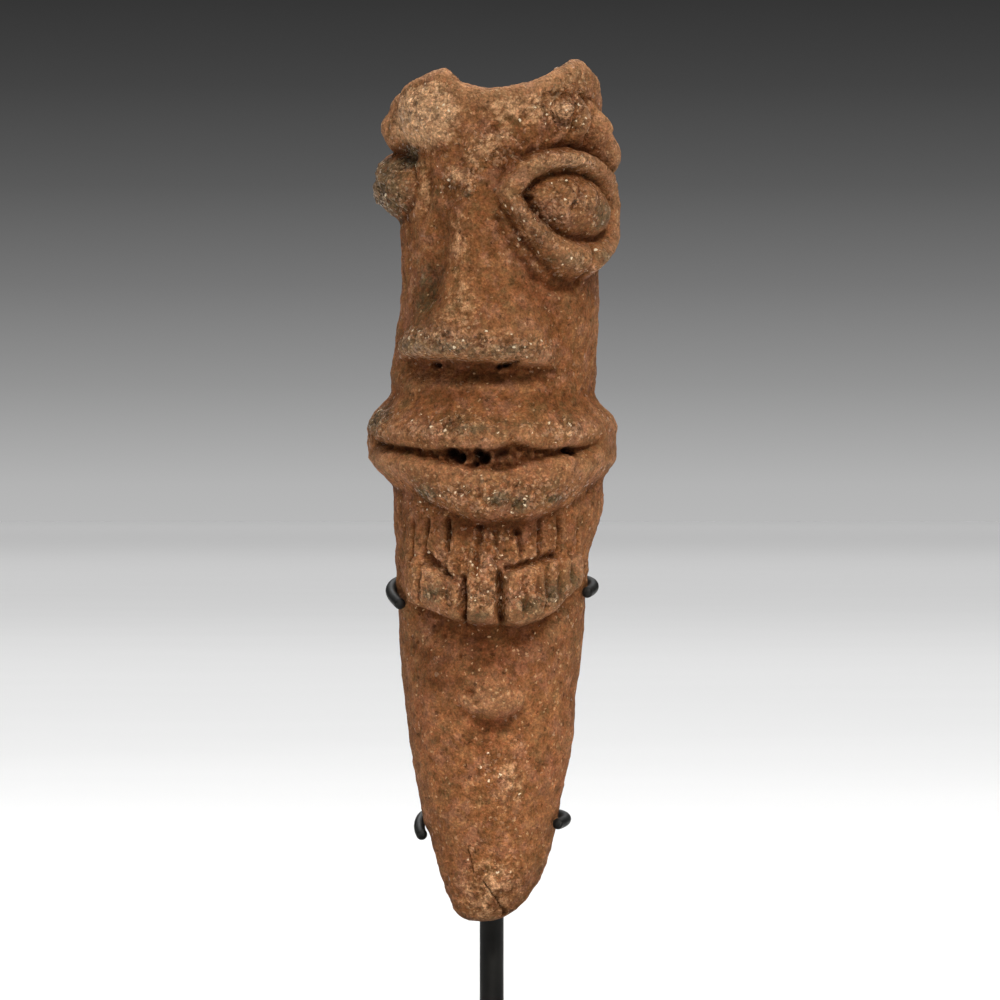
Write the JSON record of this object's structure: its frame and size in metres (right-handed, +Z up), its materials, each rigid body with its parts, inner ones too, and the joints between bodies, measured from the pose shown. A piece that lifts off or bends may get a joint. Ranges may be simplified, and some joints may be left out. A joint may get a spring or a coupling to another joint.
{
  "type": "terracotta funerary figure",
  "caption": "Tapering fired-clay column with a stylised face, heavy lips and incised beard, held upright by bent wire claws on a black steel rod and base plate.",
  "frame": {"origin": "middle of the base plate's underside, on the surface that it stands on", "axes": "+Z up along the figure, the display front with the face towards -Y, +X to the viewer's right"},
  "size_m": [0.1, 0.1, 0.2725],
  "materials": {
    "terracotta": "coarse unglazed low-fired clay, sandy, sooted and worn",
    "black_steel": "matte black painted steel"
  },
  "bodies": {
    "root": {"terracotta_figure": "terracotta", "upper_claw_wire": "black_steel", "lower_claw_wire": "black_steel", "stand_rod": "black_steel", "stand_base": "black_steel"}
  },
  "joints": []
}
